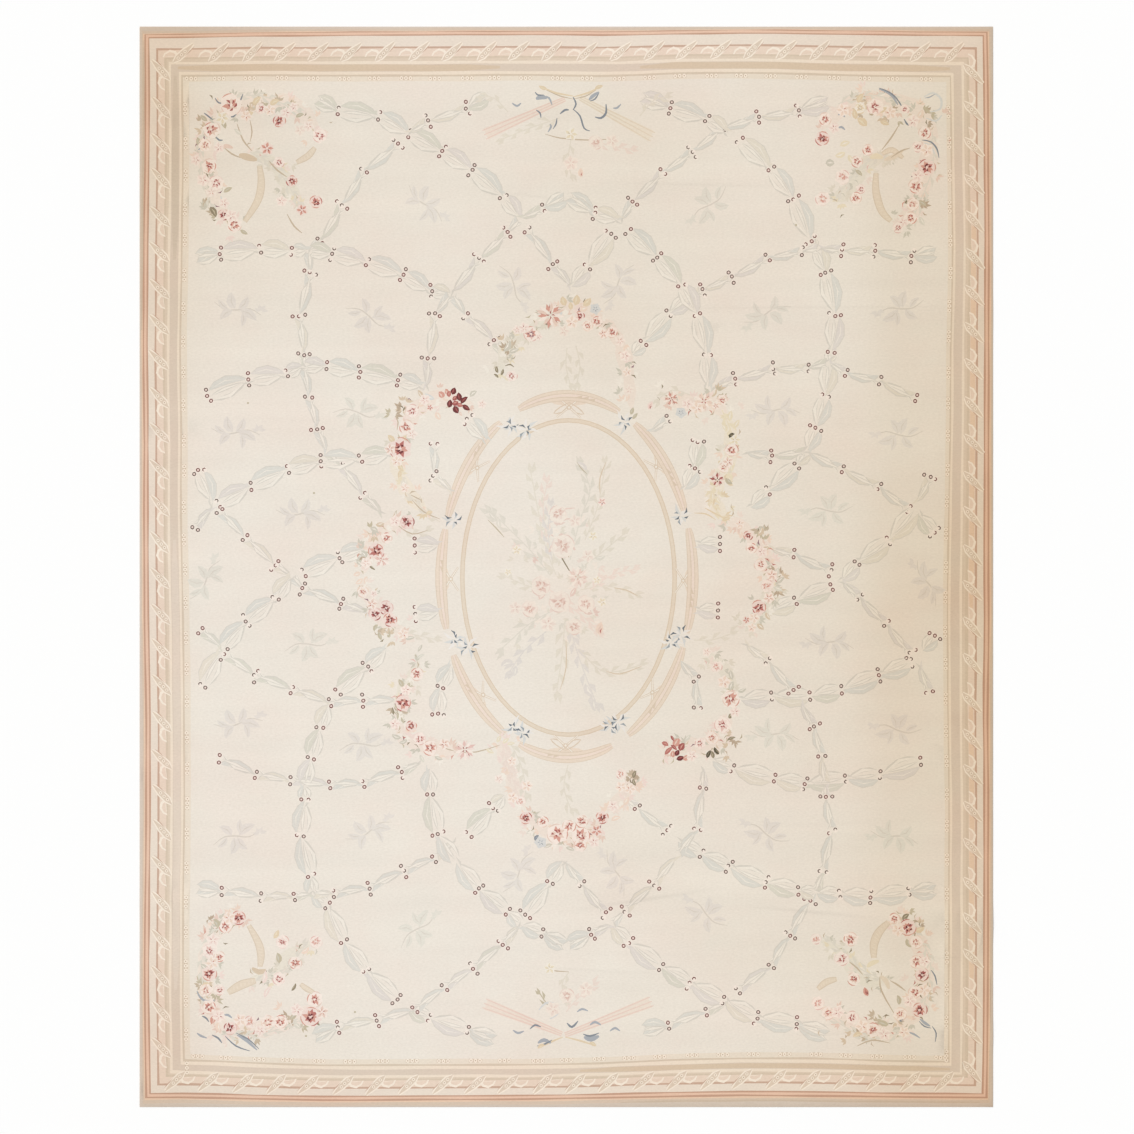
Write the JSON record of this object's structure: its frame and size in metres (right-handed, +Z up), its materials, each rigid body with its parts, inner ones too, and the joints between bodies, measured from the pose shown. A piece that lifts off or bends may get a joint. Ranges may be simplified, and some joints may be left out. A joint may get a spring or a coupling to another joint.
{
  "type": "aubusson rug",
  "caption": "Large flat tapestry-woven floor rug with straight cut edges, lying flat apart from a few low soft ridges.",
  "frame": {"origin": "on the floor, below the middle of the rug", "axes": "+Z up out of the patterned face, +Y along the rug towards its head, +X across it"},
  "size_m": [3.36, 4.254, 0.0073],
  "materials": {
    "woven_wool": "matt weft-faced wool tapestry: cream field with faded garlands and roses, tan and pink border bands"
  },
  "bodies": {
    "root": {"rug": "woven_wool"}
  },
  "joints": []
}
